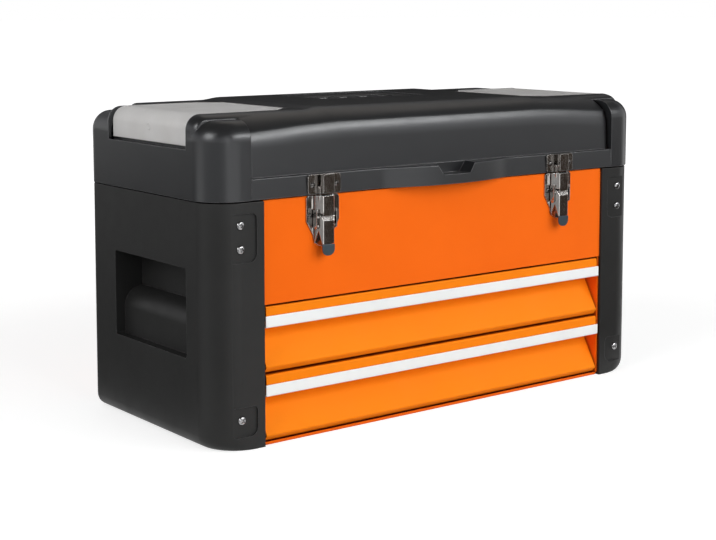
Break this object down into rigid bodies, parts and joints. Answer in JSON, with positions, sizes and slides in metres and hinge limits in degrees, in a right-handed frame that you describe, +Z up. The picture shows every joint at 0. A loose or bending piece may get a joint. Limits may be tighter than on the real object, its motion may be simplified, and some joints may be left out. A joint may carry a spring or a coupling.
{
  "type": "portable tool box with drawers",
  "caption": "Portable tool box: metal body with pull-out drawers and an open top compartment, moulded end caps, hinged lid with covered bins, fold-down handle and toggle latches.",
  "frame": {"origin": "middle of the underside of the base pan, on the plane the box rests on", "axes": "+X to the right along the drawers, -Y towards the user, +Z up"},
  "size_m": [0.5, 0.2262, 0.278],
  "materials": {
    "orange_paint": "satin",
    "cap_black": "fine satin",
    "lid_black": "satin",
    "strip_bright": "satin",
    "tray_paint": "satin",
    "runner_steel": "zinc plated",
    "hinge_steel": "zinc plated",
    "latch_chrome": "bright",
    "screw_steel": "bright",
    "cover_clear": "translucent",
    "bin_black": "satin",
    "handle_black": "satin"
  },
  "bodies": {
    "box": {"base_pan": "orange_paint", "side_panel_left": "orange_paint", "side_panel_right": "orange_paint", "front_panel": "orange_paint", "back_panel": "orange_paint", "compartment_floor": "orange_paint", "end_cap_left": "cap_black", "end_cap_right": "cap_black", "end_cap_screws": "screw_steel", "upper_runners": "runner_steel", "lower_runners": "runner_steel", "latch_base_left": "latch_chrome", "latch_base_right": "latch_chrome", "latch_rivets": "screw_steel", "lever_pins": "screw_steel", "hinge_leaves_body": "hinge_steel", "hinge_pins": "hinge_steel", "hinge_rivets_body": "hinge_steel"},
    "lid": {"lid_shell": "lid_black", "thumb_rest": "lid_black", "bin_left": "bin_black", "bin_right": "bin_black", "catch_left": "latch_chrome", "catch_right": "latch_chrome", "catch_screws": "screw_steel", "hinge_leaves_lid": "hinge_steel", "hinge_rivets_lid": "hinge_steel", "cover_pins": "hinge_steel", "handle_pins": "hinge_steel"},
    "left_cover": {"cover_left": "cover_clear"},
    "right_cover": {"cover_right": "cover_clear"},
    "handle": {"carry_handle": "handle_black"},
    "left_lever": {"latch_lever_left": "latch_chrome"},
    "right_lever": {"latch_lever_right": "latch_chrome"},
    "left_link": {"latch_link_left": "latch_chrome", "link_pin_left": "screw_steel"},
    "right_link": {"latch_link_right": "latch_chrome", "link_pin_right": "screw_steel"},
    "upper_drawer": {"drawer_upper_front": "orange_paint", "drawer_upper_tray": "tray_paint", "drawer_upper_strip": "strip_bright", "drawer_upper_rails": "runner_steel", "drawer_upper_rivets": "runner_steel"},
    "lower_drawer": {"drawer_lower_front": "orange_paint", "drawer_lower_tray": "tray_paint", "drawer_lower_strip": "strip_bright", "drawer_lower_rails": "runner_steel", "drawer_lower_rivets": "runner_steel"}
  },
  "joints": [
    {"name": "lid_hinge", "type": "hinge", "parent": "box", "child": "lid", "pos_m": [0, 0.1067, 0.206], "axis": [-1, 0, 0], "range_deg": [0, 100]},
    {"name": "left_cover_hinge", "type": "hinge", "parent": "lid", "child": "left_cover", "pos_m": [-0.1419, 0, 0.2732], "axis": [0, 1, 0], "range_deg": [0, 95]},
    {"name": "right_cover_hinge", "type": "hinge", "parent": "lid", "child": "right_cover", "pos_m": [0.1419, 0, 0.2732], "axis": [0, -1, 0], "range_deg": [0, 95]},
    {"name": "carry_handle_hinge", "type": "hinge", "parent": "lid", "child": "handle", "pos_m": [0, 0.0105, 0.2712], "axis": [1, 0, 0], "range_deg": [0, 90]},
    {"name": "upper_drawer_slide", "type": "slide", "parent": "box", "child": "upper_drawer", "axis": [0, -1, 0], "range_m": [0, 0.135]},
    {"name": "lower_drawer_slide", "type": "slide", "parent": "box", "child": "lower_drawer", "axis": [0, -1, 0], "range_m": [0, 0.135]},
    {"name": "left_lever_hinge", "type": "hinge", "parent": "box", "child": "left_lever", "pos_m": [-0.139, -0.106, 0.1875], "axis": [-1, 0, 0], "range_deg": [0, 120]},
    {"name": "left_link_hinge", "type": "hinge", "parent": "left_lever", "child": "left_link", "pos_m": [-0.139, -0.1056, 0.18], "axis": [-1, 0, 0], "range_deg": [-120, 0]},
    {"name": "right_lever_hinge", "type": "hinge", "parent": "box", "child": "right_lever", "pos_m": [0.139, -0.106, 0.1875], "axis": [-1, 0, 0], "range_deg": [0, 120]},
    {"name": "right_link_hinge", "type": "hinge", "parent": "right_lever", "child": "right_link", "pos_m": [0.139, -0.1056, 0.18], "axis": [-1, 0, 0], "range_deg": [-120, 0]}
  ],
  "couplings": [
    {"joint": "left_link_hinge", "follows": "left_lever_hinge", "ratio": -1},
    {"joint": "right_link_hinge", "follows": "right_lever_hinge", "ratio": -1}
  ]
}
